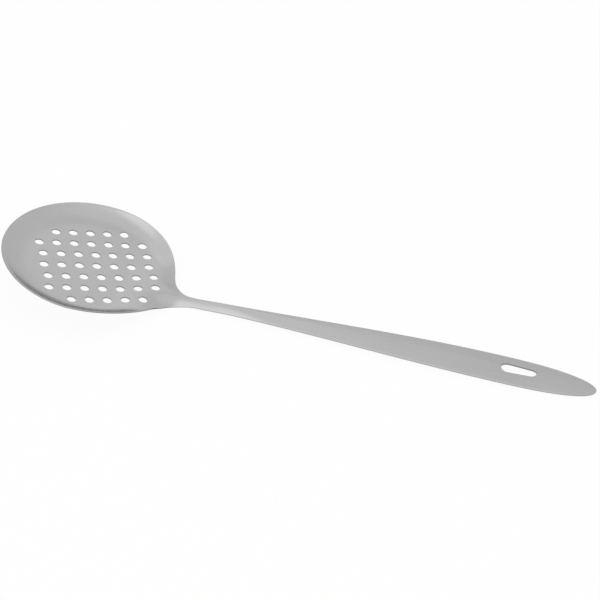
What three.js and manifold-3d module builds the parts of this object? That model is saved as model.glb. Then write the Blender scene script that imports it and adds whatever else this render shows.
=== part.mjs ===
// Kitchen skimmer: a dished, perforated steel bowl butt-welded at the neck to a long arched steel handle.
// Millimetres, +Z up. Each sheet is shaped in the bowl's own frame, with the rim level at z = 0, the bowl's
// centre on the axis and the handle along +X, and the finished skimmer is then laid down as it rests on a table.
import * as THREE from 'three';
import { mergeVertices } from 'three/addons/utils/BufferGeometryUtils.js';
import Module from 'manifold-3d';

// Bowl: a flat floor, a wall that curves up from it, and a rim that dips and draws in at the neck
const rimRadius = 55;
const dishDepth = 6.2;
const floorFall = 0.024;
const floorCentre = 4.83;
const floorRadius = 38;
const floorShare = 0.8;
const widestWall = 18;
const wallFade = 1.2;
const bowlSheet = 1;
const dipStart = THREE.MathUtils.degToRad(83.3);
const dipEnd = THREE.MathUtils.degToRad(14);
const dipPower = 2.65;
const dipDepth = 8.8;
const rimDrawIn = 2.4;
const backDrawIn = 0.7;

// Drain holes: a square grid without its corners, alternate rows pushed sideways, turned from the handle
const holeDiameter = 5.4;
const holePitch = 10.86;
const holesPerSide = 7;
const rowShift = 1.09;
const gridTurn = THREE.MathUtils.degToRad(33);

// Neck: fillets into the rim, a low step up from the floor, the bend into the handle, and the weld
const neckHalfWidth = 4.98;
const neckFillet = 23;
const neckCrown = 3.05;
const stepInsideRim = 33.3;
const stepLength = 27.6;
const stepHeight = 1.9;
const bendOutsideRim = 0.7;
const bendLength = 12.2;
const weldPastFillet = 4.4;
const weldWidth = 1.6;
const weldGap = 0.3;

// Handle: half widths in plan, slopes in side view, arched section, rounded end and hanging slot
const tipOutsideRim = 254.7;
const widestFromTip = 60.7;
const widestHalfWidth = 13;
const endPower = 2.82;
const endReach = 0.9985;
const riseAtNeck = THREE.MathUtils.degToRad(12.5);
const riseAtTip = THREE.MathUtils.degToRad(9.49);
const crown = 2.34;
const settleLength = 40.8;
const handleSheet = 1.2;
const slotFromTip = 45.4;
const slotLength = 20.5;
const slotWideEnd = 8.6;
const slotNarrowEnd = 6.9;

// Fineness of the facets
const rimSteps = 40;
const filletSteps = 8;
const neckSteps = 3;
const endSteps = 4;
const floorSteps = 3;
const wallSteps = 9;
const handleSteps = 34;
const tipSteps = 16;
const sideSteps = 5;
const holeFacets = 18;
const slotFacets = 8;
const mergeDistance = 1e-4;

// Places and slopes along the handle, all counted from the rim
const stepStart = rimRadius - stepInsideRim;
const bendStart = rimRadius + bendOutsideRim;
const bendEnd = bendStart + bendLength;
const slopeAtNeck = Math.tan(riseAtNeck);
const slopeAtTip = Math.tan(riseAtTip);
const tipPlace = rimRadius + tipOutsideRim;
const widestPlace = tipPlace - widestFromTip;

// Fillet between the drawn-in rim and the straight neck, and the weld just past it
const filletCentreY = neckHalfWidth + neckFillet;
const filletCentreX = Math.sqrt((rimRadius - rimDrawIn + neckFillet) ** 2 - filletCentreY ** 2);
const filletAngle = Math.atan2(filletCentreY, filletCentreX);
const neckRoot = (rimRadius - rimDrawIn) * Math.cos(filletAngle);
const weldPlace = filletCentreX + weldPastFillet;

const wasm = await Module();
wasm.setup();

function ease(value) {
  return THREE.MathUtils.smoothstep(value, 0, 1);
}

// Height of the middle line: bowl floor, step and bend, then a handle whose slope slackens towards its tip
function middleHeight(x) {
  const floor = -dishDepth - floorFall * Math.min(x, stepStart);
  const step = stepHeight * ease((x - stepStart) / stepLength);
  const inBend = THREE.MathUtils.clamp(x - bendStart, 0, bendLength);
  const bend = slopeAtNeck * inBend ** 2 / (2 * bendLength);
  const past = Math.max(x - bendEnd, 0);
  const slackening = (slopeAtNeck - slopeAtTip) / (tipPlace - bendEnd);
  return floor + step + bend + slopeAtNeck * past - slackening * past ** 2 / 2;
}

function halfWidth(x) {
  const widening = ease((x - filletCentreX) / (widestPlace - filletCentreX));
  const width = neckHalfWidth + (widestHalfWidth - neckHalfWidth) * widening;
  const alongEnd = Math.max((x - widestPlace) / (tipPlace - widestPlace), 0);
  return width * Math.sqrt(1 - alongEnd ** endPower);
}

// The arch is high at the neck, settles along the handle and fades with the width round the end
function archHeight(x) {
  return THREE.MathUtils.lerp(neckCrown, crown, ease((x - bendStart) / settleLength));
}

// The handle's edges run straight to the tip, so its middle sinks by what the arch loses there
function stripHeight(x, across) {
  const fade = x > widestPlace ? halfWidth(x) / widestHalfWidth : 1;
  return middleHeight(x) - archHeight(x) * (1 - fade * (1 - across ** 2));
}

// How far round towards the neck a direction from the bowl's centre is: 0 on the level rim, 1 at the neck
function nearNeck(angle, end) {
  return THREE.MathUtils.clamp((dipStart - Math.abs(angle)) / (dipStart - end), 0, 1);
}

// Radius of the rim in a direction from the bowl's centre
function rimReach(angle) {
  const towardsNeck = rimDrawIn * Math.sin(nearNeck(angle, filletAngle) * Math.PI / 2);
  return rimRadius - towardsNeck - backDrawIn * Math.max(-Math.cos(angle), 0) ** 2;
}

// Height of the bowl's boundary: level rim, dip beside the neck, then the edges of the arched neck
function boundaryHeight(x, y) {
  const dip = dipDepth * nearNeck(Math.atan2(y, x), dipEnd) ** dipPower;
  const neckShare = THREE.MathUtils.smoothstep(x, bendStart, bendEnd);
  const across = Math.min(Math.abs(y) / neckHalfWidth, 1);
  return THREE.MathUtils.lerp(-dip, stripHeight(x, across), neckShare);
}

// Plan outline of the bowl from its back, round one side, to the middle of the neck's end
function bowlHalfOutline(neckEnd) {
  const points = [];
  for (let step = 0; step < rimSteps; step += 1) {
    const angle = Math.PI + (filletAngle - Math.PI) * step / rimSteps;
    points.push(new THREE.Vector2(rimReach(angle) * Math.cos(angle), rimReach(angle) * Math.sin(angle)));
  }
  for (let step = 0; step <= filletSteps; step += 1) {
    const angle = Math.PI + filletAngle + (Math.PI / 2 - filletAngle) * step / filletSteps;
    const x = filletCentreX + neckFillet * Math.cos(angle);
    points.push(new THREE.Vector2(x, filletCentreY + neckFillet * Math.sin(angle)));
  }
  for (let step = 1; step <= neckSteps; step += 1) {
    const x = THREE.MathUtils.lerp(filletCentreX, neckEnd, step / neckSteps);
    points.push(new THREE.Vector2(x, halfWidth(x)));
  }
  for (let step = 1; step <= endSteps; step += 1) {
    points.push(new THREE.Vector2(neckEnd, halfWidth(neckEnd) * (1 - step / endSteps)));
  }
  return points;
}

// Closed sheet from a top surface and the ordered vertices of its border, thickened along the normals
function thicken(positions, triangles, border, sheet) {
  const top = new THREE.BufferGeometry();
  top.setAttribute('position', new THREE.Float32BufferAttribute(positions, 3));
  top.setIndex(triangles);
  top.computeVertexNormals();
  const normals = top.getAttribute('normal').array;
  const count = positions.length / 3;
  const under = positions.map((value, index) => value - sheet * normals[index]);
  const faces = [...triangles];
  for (let corner = 0; corner < triangles.length; corner += 3) {
    faces.push(count + triangles[corner], count + triangles[corner + 2], count + triangles[corner + 1]);
  }
  border.forEach((here, index) => {
    const next = border[(index + 1) % border.length];
    faces.push(here, count + here, next, next, count + here, count + next);
  });
  const solid = new THREE.BufferGeometry();
  solid.setAttribute('position', new THREE.Float32BufferAttribute([...positions, ...under], 3));
  solid.setIndex(faces);
  return solid;
}

// The wall curves up from the floor over its whole width, so that it is steepest at the rim
function wallRise(distance, wall) {
  return (distance / wall) ** 2;
}

function borderRise(x, y) {
  return boundaryHeight(x, y) - middleHeight(x);
}

// How much of the border's height is wall, and not an edge that curls down; the two blend where they meet
function wallPart(rise) {
  if (Math.abs(rise) > wallFade) return Math.max(rise, 0);
  return (rise + wallFade) ** 2 / (4 * wallFade);
}

// Drop of the curled edge beside and along the neck, from how far in a point lies from the nearest border
function curlDrop(x, y) {
  const angle = Math.atan2(y, x);
  let curl = neckHalfWidth;
  let inside = 0;
  let rise = 0;
  if (angle > filletAngle) {
    const reach = rimReach(angle);
    inside = reach - Math.hypot(x, y);
    rise = borderRise(reach * Math.cos(angle), reach * Math.sin(angle));
    rise -= wallPart(rise);
  } else if (x < filletCentreX) {
    const away = Math.hypot(x - filletCentreX, y - filletCentreY);
    const share = neckFillet / away;
    inside = away - neckFillet;
    rise = borderRise(
      THREE.MathUtils.lerp(filletCentreX, x, share),
      THREE.MathUtils.lerp(filletCentreY, y, share),
    );
  } else {
    curl = halfWidth(x);
    inside = curl - y;
    rise = borderRise(x, curl);
  }
  return rise * (1 - THREE.MathUtils.clamp(inside / curl, 0, 1)) ** 2;
}

// Bowl with its neck: rays from the floor's centre, level with the floor to its edge and then up the wall
function bowlSheetGeometry() {
  const half = bowlHalfOutline(weldPlace - weldWidth / 2 - weldGap);
  const mirrored = half.slice(1, -1).reverse().map((point) => new THREE.Vector2(point.x, -point.y));
  const outline = [...half, ...mirrored].reverse();
  const rays = outline.length;
  const positions = [];
  const triangles = [];
  const centre = new THREE.Vector2(floorCentre, 0);
  positions.push(centre.x, centre.y, middleHeight(centre.x));
  for (let ring = 0; ring < floorSteps + wallSteps; ring += 1) {
    const upWall = Math.max(ring + 1 - floorSteps, 0) / wallSteps;
    const onFloor = Math.min((ring + 1) / floorSteps, 1);
    outline.forEach((rim) => {
      const reach = rim.distanceTo(centre);
      const floorReach = Math.max(Math.min(floorRadius, floorShare * reach), reach - widestWall);
      const radius = THREE.MathUtils.lerp(floorReach * onFloor, reach, upWall);
      const place = centre.clone().lerp(rim, radius / reach);
      const wall = rim.x > neckRoot ? 0 : wallPart(borderRise(rim.x, rim.y));
      const share = wallRise(radius - floorReach * onFloor, reach - floorReach);
      const height = middleHeight(place.x) + wall * share + curlDrop(place.x, Math.abs(place.y));
      positions.push(place.x, place.y, height);
    });
  }
  for (let ray = 0; ray < rays; ray += 1) {
    const next = (ray + 1) % rays;
    triangles.push(0, 1 + ray, 1 + next);
    for (let ring = 0; ring < floorSteps + wallSteps - 1; ring += 1) {
      const inner = 1 + ring * rays;
      const outer = inner + rays;
      triangles.push(inner + ray, outer + ray, outer + next, inner + ray, outer + next, inner + next);
    }
  }
  const border = outline.map((rim, index) => positions.length / 3 - rays + index);
  return thicken(positions, triangles, border, bowlSheet);
}

// Arched strip between the given stations along the handle
function stripGeometry(stations, sheet) {
  const perRow = 2 * sideSteps + 1;
  const positions = [];
  const triangles = [];
  stations.forEach((x) => {
    for (let side = -sideSteps; side <= sideSteps; side += 1) {
      const across = side / sideSteps;
      positions.push(x, across * halfWidth(x), stripHeight(x, across));
    }
  });
  for (let row = 0; row < stations.length - 1; row += 1) {
    for (let column = 0; column < perRow - 1; column += 1) {
      const here = row * perRow + column;
      const ahead = here + perRow;
      triangles.push(here, ahead, ahead + 1, here, ahead + 1, here + 1);
    }
  }
  const border = [];
  const last = stations.length - 1;
  for (let row = 0; row < last; row += 1) border.push(row * perRow);
  for (let column = 0; column < perRow - 1; column += 1) border.push(last * perRow + column);
  for (let row = last; row > 0; row -= 1) border.push(row * perRow + perRow - 1);
  for (let column = perRow - 1; column > 0; column -= 1) border.push(column);
  return thicken(positions, triangles, border, sheet);
}

function toManifold(geometry) {
  const plain = geometry.clone();
  plain.deleteAttribute('normal');
  plain.deleteAttribute('uv');
  const merged = mergeVertices(plain, mergeDistance);
  const vertProperties = new Float32Array(merged.getAttribute('position').array);
  const triVerts = new Uint32Array(merged.getIndex().array);
  return new wasm.Manifold(new wasm.Mesh({ numProp: 3, vertProperties, triVerts }));
}

// Main body of a cut solid, without the flat crumbs that meeting facets can leave
function mainBody(solid) {
  return solid.decompose().reduce((best, body) => (body.volume() > best.volume() ? body : best));
}

function fromManifold(solid) {
  const mesh = mainBody(solid).getMesh();
  const geometry = new THREE.BufferGeometry();
  geometry.setAttribute('position', new THREE.Float32BufferAttribute(mesh.vertProperties, 3));
  geometry.setIndex(Array.from(mesh.triVerts));
  geometry.computeVertexNormals();
  return geometry;
}

// Centres of the drain holes in plan
function holeCentres() {
  const middle = (holesPerSide - 1) / 2;
  const centres = [];
  for (let row = -middle; row <= middle; row += 1) {
    const shift = row % 2 === 0 ? -rowShift / 2 : rowShift / 2;
    for (let column = -middle; column <= middle; column += 1) {
      const isCorner = Math.abs(row) === middle && Math.abs(column) === middle;
      if (isCorner) continue;
      const centre = new THREE.Vector2(column * holePitch + shift, row * holePitch);
      centre.rotateAround(new THREE.Vector2(0, 0), gridTurn);
      centre.x += floorCentre;
      centres.push(centre);
    }
  }
  return centres;
}

function makeBowl() {
  let bowl = toManifold(bowlSheetGeometry());
  const punchLength = 4 * dishDepth;
  holeCentres().forEach((centre) => {
    const punch = new THREE.CylinderGeometry(holeDiameter / 2, holeDiameter / 2, punchLength, holeFacets);
    punch.rotateX(Math.PI / 2);
    punch.translate(centre.x, centre.y, -dishDepth);
    bowl = bowl.subtract(toManifold(punch));
  });
  return fromManifold(bowl);
}

function makeHandle() {
  const start = weldPlace + weldWidth / 2 + weldGap;
  const stations = [];
  for (let step = 0; step < handleSteps; step += 1) {
    stations.push(THREE.MathUtils.lerp(start, widestPlace, step / handleSteps));
  }
  for (let step = 0; step <= tipSteps; step += 1) {
    const turn = Math.asin(endReach) * step / tipSteps;
    stations.push(THREE.MathUtils.lerp(widestPlace, tipPlace, Math.sin(turn)));
  }
  const slotPlace = tipPlace - slotFromTip;
  const wideCentre = (slotWideEnd - slotLength) / 2;
  const narrowCentre = (slotLength - slotNarrowEnd) / 2;
  const lean = Math.acos((slotWideEnd - slotNarrowEnd) / 2 / (narrowCentre - wideCentre));
  const outline = new THREE.Shape();
  outline.absarc(narrowCentre, 0, slotNarrowEnd / 2, -lean, lean, false);
  outline.absarc(wideCentre, 0, slotWideEnd / 2, lean, 2 * Math.PI - lean, false);
  const punchLength = 8 * handleSheet;
  const punch = new THREE.ExtrudeGeometry(outline, {
    depth: punchLength,
    bevelEnabled: false,
    curveSegments: slotFacets,
  });
  const climb = middleHeight(slotPlace + narrowCentre) - middleHeight(slotPlace + wideCentre);
  const slope = climb / (narrowCentre - wideCentre);
  punch.translate(0, 0, -punchLength / 2);
  punch.rotateY(-Math.atan(slope));
  punch.translate(slotPlace, 0, stripHeight(slotPlace, 0));
  return fromManifold(toManifold(stripGeometry(stations, handleSheet)).subtract(toManifold(punch)));
}

function makeWeld() {
  const stations = [weldPlace - weldWidth / 2, weldPlace, weldPlace + weldWidth / 2];
  return stripGeometry(stations, handleSheet);
}

function steel(colour, roughness) {
  return new THREE.MeshStandardMaterial({ color: colour, roughness, metalness: 1 });
}

function piece(name, geometry, material) {
  const mesh = new THREE.Mesh(geometry, material);
  mesh.name = name;
  return mesh;
}

// Angle that brings the lowest points on either side of the weld to one level, as on a table
function restTilt(meshes) {
  const profile = [];
  const point = new THREE.Vector3();
  meshes.forEach((mesh) => {
    const places = mesh.geometry.getAttribute('position');
    for (let index = 0; index < places.count; index += 1) {
      point.fromBufferAttribute(places, index);
      profile.push(new THREE.Vector2(point.x, point.z));
    }
  });
  const lowest = (points, tilt) => points.reduce((best, candidate) => {
    const height = candidate.y * Math.cos(tilt) - candidate.x * Math.sin(tilt);
    const bestHeight = best.y * Math.cos(tilt) - best.x * Math.sin(tilt);
    return height < bestHeight ? candidate : best;
  });
  const bowlSide = profile.filter((candidate) => candidate.x < weldPlace);
  const handleSide = profile.filter((candidate) => candidate.x > (weldPlace + tipPlace) / 2);
  let tilt = 0;
  const settlingRounds = 12;
  for (let round = 0; round < settlingRounds; round += 1) {
    const near = lowest(bowlSide, tilt);
    const far = lowest(handleSide, tilt);
    tilt = Math.atan2(far.y - near.y, far.x - near.x);
  }
  return tilt;
}

const meshes = [
  piece('bowl', makeBowl(), steel(0xb9b8b8, 0.38)),
  piece('handle', makeHandle(), steel(0xb6b6b6, 0.36)),
  piece('neck_weld', makeWeld(), steel(0xb4b4b4, 0.42)),
];

// Laid down on the neck and the tip, with the origin at the bottom centre of the whole
const laid = new THREE.Group();
laid.add(...meshes);
laid.rotation.y = restTilt(meshes);
const skimmer = new THREE.Group();
skimmer.add(laid);
skimmer.updateMatrixWorld(true);
const box = new THREE.Box3().setFromObject(skimmer, true);
laid.position.set(-(box.min.x + box.max.x) / 2, -(box.min.y + box.max.y) / 2, -box.min.z);
skimmer.updateMatrixWorld(true);

export default skimmer;
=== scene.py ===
import bisect
import math
import bmesh
import bpy
from mathutils import Matrix, Vector


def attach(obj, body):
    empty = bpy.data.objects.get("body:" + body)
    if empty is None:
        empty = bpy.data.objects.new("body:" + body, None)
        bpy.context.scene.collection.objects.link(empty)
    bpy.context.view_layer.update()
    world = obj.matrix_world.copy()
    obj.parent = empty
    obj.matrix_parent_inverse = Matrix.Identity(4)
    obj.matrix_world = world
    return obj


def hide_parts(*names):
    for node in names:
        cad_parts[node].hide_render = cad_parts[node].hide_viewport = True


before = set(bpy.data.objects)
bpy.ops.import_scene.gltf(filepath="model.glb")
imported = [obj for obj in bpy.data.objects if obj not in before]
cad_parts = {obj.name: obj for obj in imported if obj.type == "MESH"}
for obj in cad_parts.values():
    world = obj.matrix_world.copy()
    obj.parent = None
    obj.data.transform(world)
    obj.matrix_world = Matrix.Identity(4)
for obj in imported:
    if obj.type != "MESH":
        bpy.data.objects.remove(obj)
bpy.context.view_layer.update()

print("frame loaded:", ", ".join(sorted(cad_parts)))

# Skimmer of satin steel sheet. Each piece is modelled in millimetres with the bowl's rim level at z = 0 and
# the handle along +X, and is then laid down in the frame, in metres, as the skimmer lies on a table.
lie = {"tilt": 11.148, "rimCentre": (-128.9248, 0.0, 20.51), "metre": 0.001}

dish = {
    "rimRadius": 55.0, "depth": 6.2, "sheet": 1.0,
    "floorFall": 0.024, "floorCentre": 4.83, "floorRadius": 38.0, "floorShare": 0.8,
    "widestWall": 18.0, "softening": 1.2,
    "dipStart": 83.3, "dipEnd": 14.0, "dipPower": 2.65, "dipDepth": 8.7, "drawIn": 2.4, "backDrawIn": 0.9,
    "outwardSteps": 12, "outlineSteps": 720,
}
neck = {
    "halfWidth": 4.98, "fillet": 23.0, "crown": 2.84, "ridgePower": 1.3, "rootPower": 1.9,
    "stepInsideRim": 33.3, "stepLength": 27.6, "stepHeight": 1.9,
    "bendOutsideRim": 0.7, "bendLength": 12.2, "filletSteps": 26, "straightSteps": 5, "angleMargin": 1e-4,
}
weld = {"pastFillet": 4.4, "width": 1.6, "rows": 6, "columns": 28, "reach": 0.15}
strip = {
    "tipOutsideRim": 254.6, "widestFromTip": 60.6, "widestHalfWidth": 13.0, "endPower": 2.82,
    "riseAtNeck": 12.5, "riseAtTip": 9.49, "crown": 2.34, "settleLength": 40.8, "sheet": 1.2,
    "ridgeRise": 0.3, "ridgeHold": 88.0, "ridgeSettle": 50.0,
    "rows": 180, "capRows": 16, "columns": 28, "capFromTip": 25.0, "capTurn": 0.62,
}

# Places along the handle, counted from the rim's centre
stepStart = dish["rimRadius"] - neck["stepInsideRim"]
bendStart = dish["rimRadius"] + neck["bendOutsideRim"]
bendEnd = bendStart + neck["bendLength"]
tipPlace = dish["rimRadius"] + strip["tipOutsideRim"]
widestPlace = tipPlace - strip["widestFromTip"]
slopeAtNeck = math.tan(math.radians(strip["riseAtNeck"]))
slopeAtTip = math.tan(math.radians(strip["riseAtTip"]))

# Fillet between the drawn-in rim and the neck, with the weld just past it
frontRadius = dish["rimRadius"] - dish["drawIn"]
filletY = neck["halfWidth"] + neck["fillet"]
filletX = math.sqrt((frontRadius + neck["fillet"]) ** 2 - filletY ** 2)
filletAngle = math.atan2(filletY, filletX)
neckRoot = frontRadius * math.cos(filletAngle)
weldStart = filletX + weld["pastFillet"] - weld["width"] / 2
weldEnd = weldStart + weld["width"]


# Smallest width or angle to divide by
tiny = 1e-6


def clamp(value):
    return min(max(value, 0.0), 1.0)


def ease(value):
    value = clamp(value)
    return value * value * (3 - 2 * value)


def mix(low, high, share):
    return low + (high - low) * share


# Height of the middle line: floor, low step, bend, then a handle whose slope slackens towards the tip
def middleHeight(x):
    floor = -dish["depth"] - dish["floorFall"] * min(x, stepStart)
    step = neck["stepHeight"] * ease((x - stepStart) / neck["stepLength"])
    inBend = min(max(x - bendStart, 0.0), neck["bendLength"])
    past = max(x - bendEnd, 0.0)
    slackening = (slopeAtNeck - slopeAtTip) / (tipPlace - bendEnd)
    bend = slopeAtNeck * inBend ** 2 / (2 * neck["bendLength"])
    return floor + step + bend + slopeAtNeck * past - slackening * past ** 2 / 2


def halfWidth(x):
    widening = ease((x - filletX) / (widestPlace - filletX))
    alongEnd = clamp((x - widestPlace) / (tipPlace - widestPlace))
    width = mix(neck["halfWidth"], strip["widestHalfWidth"], widening)
    return width * math.sqrt(1 - alongEnd ** strip["endPower"])


# Depth of the edges under the middle line
def edgeDrop(x):
    return mix(neck["crown"], strip["crown"], ease((x - bendStart) / strip["settleLength"]))


# Height of the ridge over the edges, which rises a little past the weld and then settles
def ridgeHeight(x):
    if x < weldEnd:
        return edgeDrop(x)
    high = edgeDrop(weldEnd) + strip["ridgeRise"] * ease((x - weldEnd) / (strip["ridgeHold"] - weldEnd))
    return mix(high, strip["crown"], ease((x - strip["ridgeHold"]) / strip["ridgeSettle"]))


# Section of the strip: flanks that fall from a soft ridge, and fade with the width round the end
def stripHeight(x, across):
    fade = halfWidth(x) / strip["widestHalfWidth"] if x > widestPlace else 1.0
    return middleHeight(x) - edgeDrop(x) + ridgeHeight(x) * fade * (1 - abs(across) ** neck["ridgePower"])


def stripPoint(x, y):
    width = halfWidth(x)
    across = y / width if width > tiny else 0.0
    return x, y, stripHeight(x, min(max(across, -1.0), 1.0))


# 0 on the level rim, 1 at the neck
def nearNeck(angle, end):
    start = math.radians(dish["dipStart"])
    return clamp((start - abs(angle)) / (start - end))


def rimReach(angle):
    towardsNeck = dish["drawIn"] * math.sin(nearNeck(angle, filletAngle) * math.pi / 2)
    return dish["rimRadius"] - towardsNeck - dish["backDrawIn"] * max(-math.cos(angle), 0.0) ** 2


def boundaryHeight(x, y):
    dip = dish["dipDepth"] * nearNeck(math.atan2(y, x), math.radians(dish["dipEnd"])) ** dish["dipPower"]
    across = min(abs(y) / neck["halfWidth"], 1.0)
    return mix(-dip, stripHeight(x, across), ease((x - bendStart) / neck["bendLength"]))


# Edge of the neck after a number of steps along it: round the fillet, then straight to the weld
def neckEdge(step):
    if step <= neck["filletSteps"]:
        angle = math.pi + mix(filletAngle, math.pi / 2, step / neck["filletSteps"])
        return filletX + neck["fillet"] * math.cos(angle), filletY + neck["fillet"] * math.sin(angle)
    x = mix(filletX, weldStart, (step - neck["filletSteps"]) / neck["straightSteps"])
    return x, halfWidth(x)


# Half outline of the bowl and neck as (angle seen from the floor's centre, x, y), from the neck to the back
def halfOutline():
    points = [(weldStart, halfWidth(weldStart) * step / weld["columns"]) for step in range(weld["columns"])]
    for step in range(neck["filletSteps"] + neck["straightSteps"], 0, -1):
        points.append(neckEdge(step))
    for step in range(dish["outlineSteps"] + 1):
        angle = mix(filletAngle, math.pi, step / dish["outlineSteps"])
        points.append((rimReach(angle) * math.cos(angle), rimReach(angle) * math.sin(angle)))
    return [(math.atan2(y, x - dish["floorCentre"]), x, y) for x, y in points]


outline = halfOutline()
outlineAngles = [point[0] for point in outline]


# The wall curves up from the floor over its whole width, so that it is steepest at the rim
def wallRise(distance, wall):
    return (distance / wall) ** 2


# How much of the border's height is wall, rather than an edge that curls down; the two blend where they meet
def wallPart(rise):
    soft = dish["softening"]
    if abs(rise) > soft:
        return max(rise, 0.0)
    return (rise + soft) ** 2 / (4 * soft)


def borderRise(x, y):
    return boundaryHeight(x, y) - middleHeight(x)


# Wall height at a point: along a ray from the floor's centre, level to the floor's edge, then up to the rim
def wallHeight(x, y):
    fromCentre = x - dish["floorCentre"]
    angle = math.atan2(y, fromCentre)
    after = min(max(bisect.bisect_left(outlineAngles, angle), 1), len(outline) - 1)
    before, ahead = outline[after - 1], outline[after]
    share = clamp((angle - before[0]) / max(ahead[0] - before[0], tiny))
    rimX = mix(before[1], ahead[1], share)
    rimY = mix(before[2], ahead[2], share)
    if rimX > neckRoot:
        return 0.0
    reach = math.hypot(rimX - dish["floorCentre"], rimY)
    floorReach = max(min(dish["floorRadius"], dish["floorShare"] * reach), reach - dish["widestWall"])
    upWall = min(max(math.hypot(fromCentre, y) - floorReach, 0.0), reach - floorReach)
    return wallPart(borderRise(rimX, rimY)) * wallRise(upWall, reach - floorReach)


# Drop of the edge that curls down from the middle line towards the nearest border
def curlDrop(x, y):
    angle = math.atan2(y, x)
    if angle > filletAngle:
        reach = rimReach(angle)
        borderX, borderY = reach * math.cos(angle), reach * math.sin(angle)
        inside = reach - math.hypot(x, y)
        rise = borderRise(borderX, borderY)
        rise -= wallPart(rise)
    elif x < filletX:
        away = math.hypot(x - filletX, y - filletY)
        share = neck["fillet"] / away
        borderX, borderY = mix(filletX, x, share), mix(filletY, y, share)
        inside = away - neck["fillet"]
        rise = borderRise(borderX, borderY)
    else:
        borderY = halfWidth(x)
        inside = borderY - y
        rise = borderRise(x, borderY)
    atRoot = clamp((borderY - neck["halfWidth"]) / (frontRadius * math.sin(filletAngle) - neck["halfWidth"]))
    return rise * (1 - clamp(inside / borderY)) ** mix(neck["ridgePower"], neck["rootPower"], atRoot)


# Upper face of the bowl and its neck
def bowlPoint(x, y):
    return x, y, middleHeight(x) + wallHeight(x, abs(y)) + curlDrop(x, abs(y))


def activate(piece):
    bpy.ops.object.select_all(action="DESELECT")
    piece.select_set(True)
    bpy.context.view_layer.objects.active = piece


def applyModifier(piece, kind, **settings):
    activate(piece)
    modifier = piece.modifiers.new(kind.title(), kind)
    for name, value in settings.items():
        setattr(modifier, name, value)
    bpy.ops.object.modifier_apply(modifier=modifier.name)


def startEdit(piece, selectBy="EDGE"):
    activate(piece)
    bpy.ops.object.mode_set(mode="EDIT")
    bpy.ops.mesh.select_mode(type=selectBy)
    bpy.ops.mesh.select_all(action="DESELECT")
    return bmesh.from_edit_mesh(piece.data)


def endEdit(piece):
    bmesh.update_edit_mesh(piece.data)
    bpy.ops.object.mode_set(mode="OBJECT")


def selectEdges(piece, mesh, isWanted):
    for edge in mesh.edges:
        edge.select_set(isWanted(edge))
    bmesh.update_edit_mesh(piece.data)


# Extrudes the selected edges and sends each new point where place(x, y) says
def extrudeTo(piece, place):
    bpy.ops.mesh.extrude_edges_move()
    mesh = bmesh.from_edit_mesh(piece.data)
    for vert in mesh.verts:
        if vert.select:
            vert.co.x, vert.co.y = place(vert.co.x, vert.co.y)
    bmesh.update_edit_mesh(piece.data)


def deleteFaces(piece, unwanted):
    mesh = startEdit(piece, "FACE")
    for face in mesh.faces:
        centre = face.calc_center_median()
        face.select_set(unwanted(centre.x, centre.y))
    bmesh.update_edit_mesh(piece.data)
    bpy.ops.mesh.delete(type="FACE")
    endEdit(piece)


drainHoles = {
    "diameter": 5.4, "pitch": 10.86, "perSide": 7, "rowShift": 1.09, "turn": 33.0, "fieldRadius": 45.0,
    "points": 64, "ringShares": (0.1, 0.28, 0.6, 1.0), "mergeWithin": 0.001, "edgeMargin": 1.01,
}


# One square cell of sheet round a drain hole: a circle extruded outwards until it fills the square
def holeCell(name):
    radius = drainHoles["diameter"] / 2
    half = drainHoles["pitch"] / 2
    bpy.ops.object.select_all(action="DESELECT")
    bpy.ops.mesh.primitive_circle_add(vertices=drainHoles["points"], radius=radius, fill_type="NOTHING")
    cell = bpy.context.object
    cell.name = name
    startEdit(cell)
    bpy.ops.mesh.select_all(action="SELECT")
    for share in drainHoles["ringShares"]:
        def outward(x, y):
            angle = math.atan2(y, x)
            side = half / max(abs(math.cos(angle)), abs(math.sin(angle)))
            reach = mix(radius, side, share)
            return reach * math.cos(angle), reach * math.sin(angle)
        extrudeTo(cell, outward)
    endEdit(cell)
    return cell


# Pushes the holes of alternate rows sideways inside their cells
def shiftRows(sheet):
    radius = drainHoles["diameter"] / 2
    pitch = drainHoles["pitch"]
    for vert in sheet.data.vertices:
        row = round(vert.co.y / pitch)
        inX = vert.co.x - round(vert.co.x / pitch) * pitch
        inY = vert.co.y - row * pitch
        reach = math.hypot(inX, inY)
        side = pitch / 2 * reach / max(abs(inX), abs(inY))
        aside = drainHoles["rowShift"] / 2 * (1 if row % 2 else -1)
        vert.co.x += aside * clamp((side - reach) / (side - radius))


# Cells in a square grid without its corners
def holeField(name):
    sheet = holeCell(name)
    pitch = drainHoles["pitch"]
    for direction in ((pitch, 0, 0), (0, pitch, 0)):
        applyModifier(
            sheet, "ARRAY", count=drainHoles["perSide"],
            use_relative_offset=False, use_constant_offset=True, constant_offset_displace=direction,
            use_merge_vertices=True, merge_threshold=drainHoles["mergeWithin"],
        )
    middle = pitch * (drainHoles["perSide"] - 1) / 2
    sheet.location = (-middle, -middle, 0)
    bpy.ops.object.transform_apply(location=True)
    inner = middle - pitch / 2
    deleteFaces(sheet, lambda x, y: abs(x) > inner and abs(y) > inner)
    shiftRows(sheet)
    sheet.rotation_euler.z = math.radians(drainHoles["turn"])
    sheet.location.x = dish["floorCentre"]
    bpy.ops.object.transform_apply(location=True, rotation=True)
    return sheet


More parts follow.
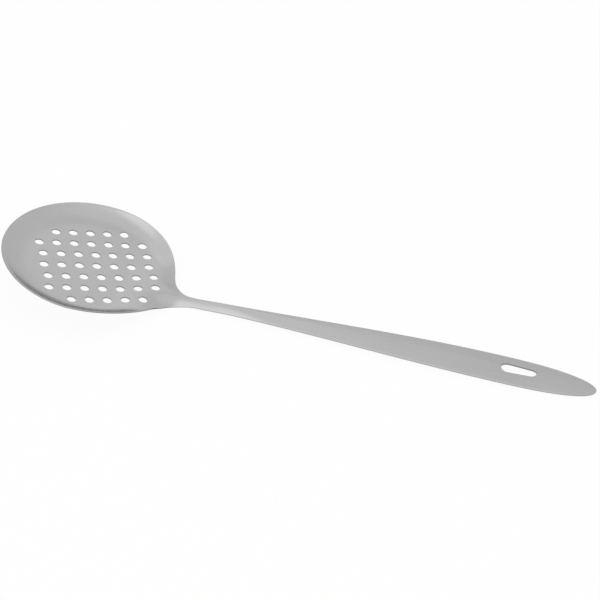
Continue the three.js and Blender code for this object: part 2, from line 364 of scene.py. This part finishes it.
# Grows the field of holes out to the rim, then draws the front of the rim out into the neck
def growBowl(sheet):
    mesh = startEdit(sheet)
    onHole = drainHoles["edgeMargin"] * math.pi * drainHoles["diameter"] / drainHoles["points"]
    selectEdges(sheet, mesh, lambda edge: edge.is_boundary and edge.calc_length() > onHole)
    for step in range(dish["outwardSteps"]):
        def outward(x, y):
            angle = math.atan2(y, x)
            share = 1 / (dish["outwardSteps"] - step)
            reach = mix(math.hypot(x, y), rimReach(angle), share)
            return reach * math.cos(angle), reach * math.sin(angle)
        extrudeTo(sheet, outward)
    mesh = bmesh.from_edit_mesh(sheet.data)
    rim = [vert for vert in mesh.verts if vert.select]
    for side in (-filletAngle, filletAngle):
        nearest = min(rim, key=lambda vert: abs(math.atan2(vert.co.y, vert.co.x) - side))
        nearest.co.x = frontRadius * math.cos(side)
        nearest.co.y = frontRadius * math.sin(side)
    within = filletAngle + neck["angleMargin"]

    def isFront(edge):
        return all(abs(math.atan2(vert.co.y, vert.co.x)) < within for vert in edge.verts)

    selectEdges(sheet, mesh, lambda edge: edge.select and isFront(edge))
    startX, startY = neckEdge(0)
    steps = neck["filletSteps"] + neck["straightSteps"]
    for step in range(1, steps + 1):
        lastY = neckEdge(step - 1)[1]
        edgeX, edgeY = neckEdge(step)

        def forward(x, y):
            across = y / lastY
            bulge = math.sqrt(frontRadius ** 2 - (across * startY) ** 2) - startX
            return edgeX + bulge * (1 - step / steps), across * edgeY

        extrudeTo(sheet, forward)
    endEdit(sheet)


def shapeSheet(piece, place):
    for vert in piece.data.vertices:
        vert.co = place(vert.co.x, vert.co.y)


# How dark the cut faces are drawn: the punched holes and the rim, partly rougher sheared steel and partly
# painted shade, and the rim where it runs into the neck, a line of painted shade
cutAndPaintedShade = {
    "punched": 0.38, "rim": 0.3, "rimEnd": 12.0,
    "neckRoot": 1.0, "rootMiddle": 15.0, "rootReach": 7.0,
}


# Stores each cut face's darkness, painted shade included, and gives the face back the first material
def markCutFacesAndPaintedShade(piece, isPunched):
    cutFaceAndPaintedShade = piece.data.attributes.new("cutFaceAndPaintedShade", "FLOAT", "FACE")
    for face in piece.data.polygons:
        angle = math.degrees(math.atan2(abs(face.center.y), face.center.x))
        # Painted shade: a dark line on the cut faces where the rim runs into the neck
        paintedRootShade = ease(2 - 2 * abs(angle - cutAndPaintedShade["rootMiddle"]) / cutAndPaintedShade["rootReach"])
        rim = cutAndPaintedShade["rim"] if angle > cutAndPaintedShade["rimEnd"] else 0.0
        outer = mix(rim, cutAndPaintedShade["neckRoot"], paintedRootShade)
        amount = cutAndPaintedShade["punched"] if isPunched(face.center.x, face.center.y) else outer
        cutFaceAndPaintedShade.data[face.index].value = amount * face.material_index
        face.material_index = 0


edges = {
    "round": 0.22, "segments": 3, "sharpAngle": 50.0, "smoothAngle": 40.0,
    "mergeWithin": 0.0005, "smallest": 0.002,
}


# Turns the faces up, gives the sheet its thickness downwards and rounds its cut edges, but not where it is
# welded. The second, empty material only marks the cut faces until their darkness, partly painted shade, is
# stored.
def finishSheet(piece, thickness, isWelded, isPunched, **taper):
    startEdit(piece)
    bpy.ops.mesh.select_all(action="SELECT")
    bpy.ops.mesh.remove_doubles(threshold=edges["mergeWithin"])
    bpy.ops.mesh.normals_make_consistent(inside=False)
    endEdit(piece)
    if sum(face.normal.z * face.area for face in piece.data.polygons) < 0:
        piece.data.flip_normals()
    piece.data.materials.clear()
    for slotNumber in range(2):
        piece.data.materials.append(None)
    applyModifier(
        piece, "SOLIDIFY", thickness=thickness, offset=-1, use_even_offset=True, use_quality_normals=True,
        material_offset_rim=1, **taper,
    )
    mesh = startEdit(piece)
    bpy.ops.mesh.edges_select_sharp(sharpness=math.radians(edges["sharpAngle"]))
    for edge in mesh.edges:
        if edge.select and all(isWelded(vert.co.x) for vert in edge.verts):
            edge.select_set(False)
    bmesh.update_edit_mesh(piece.data)
    bpy.ops.mesh.bevel(offset=edges["round"], segments=edges["segments"], affect="EDGES", clamp_overlap=False)
    bpy.ops.mesh.select_all(action="SELECT")
    bpy.ops.mesh.dissolve_degenerate(threshold=edges["smallest"])
    endEdit(piece)
    markCutFacesAndPaintedShade(piece, isPunched)
    activate(piece)
    bpy.ops.object.shade_smooth_by_angle(angle=math.radians(edges["smoothAngle"]))


def layDown(piece):
    activate(piece)
    tilt = Matrix.Rotation(math.radians(lie["tilt"]), 4, "Y")
    piece.matrix_world = Matrix.Scale(lie["metre"], 4) @ Matrix.Translation(lie["rimCentre"]) @ tilt
    bpy.ops.object.transform_apply(location=True, rotation=True, scale=True)


def makeBowl():
    bowl = holeField("skimmerBowl")
    growBowl(bowl)
    shapeSheet(bowl, bowlPoint)

    def isWelded(x):
        return x > weldStart - weld["reach"]

    def isPunched(x, y):
        return math.hypot(x - dish["floorCentre"], y) < drainHoles["fieldRadius"]

    finishSheet(bowl, dish["sheet"], isWelded, isPunched)
    layDown(bowl)
    print("bowl:", len(bowl.data.polygons), "faces")
    return bowl


# Flat grid whose corners run from -1 to 1, as a start for the strips
def unitGrid(name, along, across):
    bpy.ops.object.select_all(action="DESELECT")
    bpy.ops.mesh.primitive_grid_add(x_subdivisions=along, y_subdivisions=across, size=2)
    grid = bpy.context.object
    grid.name = name
    return grid


# Point of the rounded end at a turn from the tip
def endPoint(turn):
    x = mix(widestPlace, tipPlace, math.cos(turn) ** (2 / strip["endPower"]))
    return x, strip["widestHalfWidth"] * math.sin(turn)


# Spreads the grid along the handle, with the last rows bowed round the end
def spreadHandle(handle):
    capStart = tipPlace - strip["capFromTip"]
    capShare = (capStart - widestPlace) / (tipPlace - widestPlace)
    startTurn = math.acos(capShare ** (strip["endPower"] / 2))
    cornerX, cornerY = endPoint(strip["capTurn"])
    total = strip["rows"] + strip["capRows"]
    for vert in handle.data.vertices:
        row = (vert.co.x + 1) / 2 * total
        across = vert.co.y
        if row <= strip["rows"]:
            x = mix(weldEnd, capStart, row / strip["rows"])
            vert.co.x, vert.co.y = x, across * halfWidth(x)
            continue
        share = (row - strip["rows"]) / strip["capRows"]
        x, width = endPoint(mix(startTurn, strip["capTurn"], share))
        bowX, bowY = endPoint(strip["capTurn"] * abs(across))
        vert.co.x = x + share * (bowX - cornerX)
        vert.co.y = across * width + share * math.copysign(bowY - abs(across) * cornerY, across)


slot = {
    "fromTip": 45.3, "length": 20.5, "wideEnd": 8.6, "narrowEnd": 6.9,
    "clearAlong": 3.4, "clearShare": 0.5, "borderShare": 0.9, "ringShares": (0.5, 0.7, 1.0),
}
slotPlace = tipPlace - slot["fromTip"]


# Opens the hanging slot: a block of faces is taken out and its border is drawn in to the tapered outline
def cutSlot(handle):
    reach = slot["length"] / 2 + slot["clearAlong"]

    def isCleared(x, y):
        return abs(x - slotPlace) < reach and abs(y) < slot["clearShare"] * halfWidth(x)

    deleteFaces(handle, isCleared)
    wideX = slotPlace + (slot["wideEnd"] - slot["length"]) / 2
    narrowX = slotPlace + (slot["length"] - slot["narrowEnd"]) / 2

    def isNear(vert):
        inside = abs(vert.co.y) < slot["borderShare"] * halfWidth(vert.co.x)
        return inside and abs(vert.co.x - slotPlace) < slot["fromTip"] / 2

    def isBorder(edge):
        return edge.is_boundary and all(isNear(vert) for vert in edge.verts)

    selectEdges(handle, startEdit(handle), isBorder)
    for share in slot["ringShares"]:
        def inward(x, y):
            middle = min(max(x, wideX), narrowX)
            radius = mix(slot["wideEnd"], slot["narrowEnd"], (middle - wideX) / (narrowX - wideX)) / 2
            far = math.hypot(x - middle, y)
            reachNow = mix(far, radius, share)
            return middle + (x - middle) / far * reachNow, y / far * reachNow
        extrudeTo(handle, inward)
    endEdit(handle)


def makeHandle():
    handle = unitGrid("skimmerHandle", strip["rows"] + strip["capRows"], strip["columns"])
    spreadHandle(handle)
    cutSlot(handle)
    shapeSheet(handle, stripPoint)

    def isWelded(x):
        return x < weldEnd + weld["reach"]

    def isPunched(x, y):
        return abs(x - slotPlace) < slot["length"] and abs(y) < slot["wideEnd"]

    finishSheet(handle, strip["sheet"], isWelded, isPunched)
    layDown(handle)
    print("handle:", len(handle.data.polygons), "faces")
    return handle


# Ground-flush weld, as thick as the bowl at one side and as the handle at the other
def makeWeld():
    bead = unitGrid("neckWeldBead", weld["rows"], weld["columns"])
    for vert in bead.data.vertices:
        x = mix(weldStart, weldEnd, (vert.co.x + 1) / 2)
        vert.co.x, vert.co.y = x, vert.co.y * halfWidth(x)
    shapeSheet(bead, stripPoint)
    thickness = bead.vertex_groups.new(name="thickness")
    for vert in bead.data.vertices:
        share = (vert.co.x - weldStart) / weld["width"]
        thickness.add([vert.index], mix(dish["sheet"], strip["sheet"], share) / strip["sheet"], "REPLACE")

    def isWelded(x):
        return min(x - weldStart, weldEnd - x) < weld["reach"]

    def isPunched(x, y):
        return False

    finishSheet(bead, strip["sheet"], isWelded, isPunched, vertex_group="thickness")
    bead.vertex_groups.clear()
    layDown(bead)
    print("weld:", len(bead.data.polygons), "faces")
    return bead


# Satin steel: a fine grain, even on the bowl, along the handle and across the ground weld, under soft clouds.
# The grain is counted in marks per metre along x, y and z.
# The cut colour is partly rougher sheared steel and partly painted shade
bowlSteel = {
    "dark": (0.377, 0.373, 0.375, 1), "pale": (0.478, 0.473, 0.474, 1),
    "roughness": 0.26, "roughnessSpread": 0.04,
    "grain": (1100, 1100, 1100), "grainShare": 0.55, "grainDetail": 3, "cloud": 22, "cloudDetail": 2,
    "bump": 0.05, "bumpDepth": 0.00005,
    "cutAndShadeColour": (0.06, 0.06, 0.06, 1), "cutRoughness": 0.5, "edgeTint": (0.78, 0.78, 0.78, 1),
}
handleSteel = {
    "dark": (0.376, 0.374, 0.375, 1), "pale": (0.477, 0.474, 0.474, 1),
    "roughness": 0.26, "roughnessSpread": 0.04,
    "grain": (22, 1400, 700), "grainShare": 0.6, "grainDetail": 3, "cloud": 18, "cloudDetail": 2,
    "bump": 0.05, "bumpDepth": 0.00005,
    "cutAndShadeColour": (0.06, 0.06, 0.06, 1), "cutRoughness": 0.5, "edgeTint": (0.78, 0.78, 0.78, 1),
}
weldSteel = {
    "dark": (0.388, 0.386, 0.387, 1), "pale": (0.459, 0.456, 0.456, 1),
    "roughness": 0.27, "roughnessSpread": 0.04,
    "grain": (2200, 60, 700), "grainShare": 0.6, "grainDetail": 3, "cloud": 300, "cloudDetail": 2,
    "bump": 0.06, "bumpDepth": 0.00005,
    "cutAndShadeColour": (0.06, 0.06, 0.06, 1), "cutRoughness": 0.5, "edgeTint": (0.78, 0.78, 0.78, 1),
}


def addNode(tree, kind, **settings):
    node = tree.nodes.new("ShaderNode" + kind)
    for name, value in settings.items():
        setattr(node, name, value)
    return node


# Blend of two numbers or two colours by a share, where either end is a socket or a plain value
def blend(tree, kind, share, low, high):
    node = addNode(tree, "Mix", data_type=kind)
    wanted = "VALUE" if kind == "FLOAT" else kind
    ends = [socket for socket in node.inputs if socket.type == wanted and socket.name in "AB"]
    for socket, value in zip(ends, (low, high)):
        if isinstance(value, bpy.types.NodeSocket):
            tree.links.new(value, socket)
        else:
            socket.default_value = value
    if isinstance(share, bpy.types.NodeSocket):
        tree.links.new(share, node.inputs["Factor"])
    else:
        node.inputs["Factor"].default_value = share
    return next(socket for socket in node.outputs if socket.type == wanted)


def satinSteel(name, finish):
    material = bpy.data.materials.new(name)
    material.use_nodes = True
    tree = material.node_tree
    shader = tree.nodes["Principled BSDF"]
    shader.inputs["Metallic"].default_value = 1
    shader.inputs["Specular Tint"].default_value = finish["edgeTint"]
    place = addNode(tree, "TexCoord")
    stretch = addNode(tree, "Mapping")
    stretch.inputs["Scale"].default_value = finish["grain"]
    tree.links.new(place.outputs["Object"], stretch.inputs["Vector"])
    grain = addNode(tree, "TexNoise")
    grain.inputs["Scale"].default_value = 1
    grain.inputs["Detail"].default_value = finish["grainDetail"]
    tree.links.new(stretch.outputs["Vector"], grain.inputs["Vector"])
    cloud = addNode(tree, "TexNoise")
    cloud.inputs["Scale"].default_value = finish["cloud"]
    cloud.inputs["Detail"].default_value = finish["cloudDetail"]
    tree.links.new(place.outputs["Object"], cloud.inputs["Vector"])
    cutAndShade = addNode(tree, "Attribute", attribute_name="cutFaceAndPaintedShade")

    mottle = blend(tree, "FLOAT", finish["grainShare"], cloud.outputs["Fac"], grain.outputs["Fac"])
    sheetColour = blend(tree, "RGBA", mottle, finish["dark"], finish["pale"])
    # Painted shade: the cut faces darken to the cut colour by their stored amount
    colour = blend(tree, "RGBA", cutAndShade.outputs["Fac"], sheetColour, finish["cutAndShadeColour"])
    tree.links.new(colour, shader.inputs["Base Color"])
    smoothest = finish["roughness"] - finish["roughnessSpread"]
    roughest = finish["roughness"] + finish["roughnessSpread"]
    sheetRoughness = blend(tree, "FLOAT", mottle, smoothest, roughest)
    roughness = blend(tree, "FLOAT", cutAndShade.outputs["Fac"], sheetRoughness, finish["cutRoughness"])
    tree.links.new(roughness, shader.inputs["Roughness"])

    bump = addNode(tree, "Bump")
    bump.inputs["Strength"].default_value = finish["bump"]
    bump.inputs["Distance"].default_value = finish["bumpDepth"]
    tree.links.new(grain.outputs["Fac"], bump.inputs["Height"])
    tree.links.new(bump.outputs["Normal"], shader.inputs["Normal"])
    print("finish:", name)
    return material


# White studio: the camera and the metal see white all round, and four soft lamps shape the steel
studio = {
    "cameraAt": (0.1973, -0.7093, 0.51579), "cameraTurn": (55.9561, -2.8208, 17.1519), "lens": 90.0155,
    "sensor": 36, "clipStart": 0.01,
    "floorSize": 12.0, "floorDrop": 0.0002, "floorColour": (0.9, 0.9, 0.9, 1), "floorGlow": 0.94,
    "worldColour": (1, 1, 1, 1), "worldLight": 0.8, "worldSeen": 1.0,
}
lamps = {
    "frontLamp": {"at": (-0.3, -1.0, 1.3), "aimedAt": (-0.05, 0, 0), "size": 2.0, "power": 6.25},
    "leftLamp": {"at": (-1.3, 0.6, 0.9), "aimedAt": (-0.05, 0, 0), "size": 2.2, "power": 2.8},
    "backLamp": {"at": (-1.06, 1.7, 0.85), "aimedAt": (-0.05, 0, 0), "size": 1.8, "power": 1.2},
    "overheadLamp": {"at": (0.0, 0.0, 1.7), "aimedAt": (-0.05, 0, 0), "size": 1.6, "power": 1.0},
}


def makeCamera():
    turn = [math.radians(angle) for angle in studio["cameraTurn"]]
    bpy.ops.object.camera_add(location=studio["cameraAt"], rotation=turn)
    camera = bpy.context.object
    camera.data.lens = studio["lens"]
    camera.data.sensor_width = studio["sensor"]
    camera.data.clip_start = studio["clipStart"]
    bpy.context.scene.camera = camera


# 1 for rays that see the background straight, in a reflection or through something
def seenShare(tree):
    path = addNode(tree, "LightPath")
    seen = path.outputs["Is Camera Ray"]
    for name in ("Is Glossy Ray", "Is Transmission Ray"):
        either = addNode(tree, "Math", operation="MAXIMUM")
        tree.links.new(seen, either.inputs[0])
        tree.links.new(path.outputs[name], either.inputs[1])
        seen = either.outputs[0]
    return seen


def makeFloor():
    bpy.ops.mesh.primitive_plane_add(size=studio["floorSize"], location=(0, 0, -studio["floorDrop"]))
    floor = bpy.context.object
    floor.name = "studioFloor"
    material = bpy.data.materials.new("paleFloor")
    material.use_nodes = True
    tree = material.node_tree
    tree.nodes.clear()
    paint = addNode(tree, "BsdfDiffuse")
    paint.inputs["Color"].default_value = studio["floorColour"]
    glow = addNode(tree, "Emission")
    share = addNode(tree, "Math", operation="MULTIPLY")
    share.inputs[1].default_value = studio["floorGlow"]
    tree.links.new(seenShare(tree), share.inputs[0])
    surface = addNode(tree, "MixShader")
    output = addNode(tree, "OutputMaterial")
    tree.links.new(share.outputs[0], surface.inputs[0])
    tree.links.new(paint.outputs[0], surface.inputs[1])
    tree.links.new(glow.outputs[0], surface.inputs[2])
    tree.links.new(surface.outputs[0], output.inputs["Surface"])
    floor.data.materials.append(material)


def lightStudio():
    world = bpy.data.worlds.new("studioWorld")
    bpy.context.scene.world = world
    world.use_nodes = True
    tree = world.node_tree
    background = tree.nodes["Background"]
    background.inputs["Color"].default_value = studio["worldColour"]
    strength = blend(tree, "FLOAT", seenShare(tree), studio["worldLight"], studio["worldSeen"])
    tree.links.new(strength, background.inputs["Strength"])
    for name, settings in lamps.items():
        aim = Vector(settings["aimedAt"]) - Vector(settings["at"])
        turn = aim.to_track_quat("-Z", "Y").to_euler()
        bpy.ops.object.light_add(type="AREA", location=settings["at"], rotation=turn)
        lamp = bpy.context.object
        lamp.name = name
        lamp.data.size = settings["size"]
        lamp.data.energy = settings["power"]
        lamp.visible_camera = False
    print("studio lit by", ", ".join(lamps))


makeCamera()
makeFloor()
lightStudio()
bpy.context.scene.view_settings.view_transform = "Standard"

for piece, node, slotName, finish in (
    (makeBowl(), "bowl", "bowl_steel", bowlSteel),
    (makeHandle(), "handle", "handle_steel", handleSteel),
    (makeWeld(), "neck_weld", "weld_steel", weldSteel),
):
    piece.data.materials.clear()
    piece.data.materials.append(satinSteel(slotName, finish))
    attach(piece, "root")
    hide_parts(node)
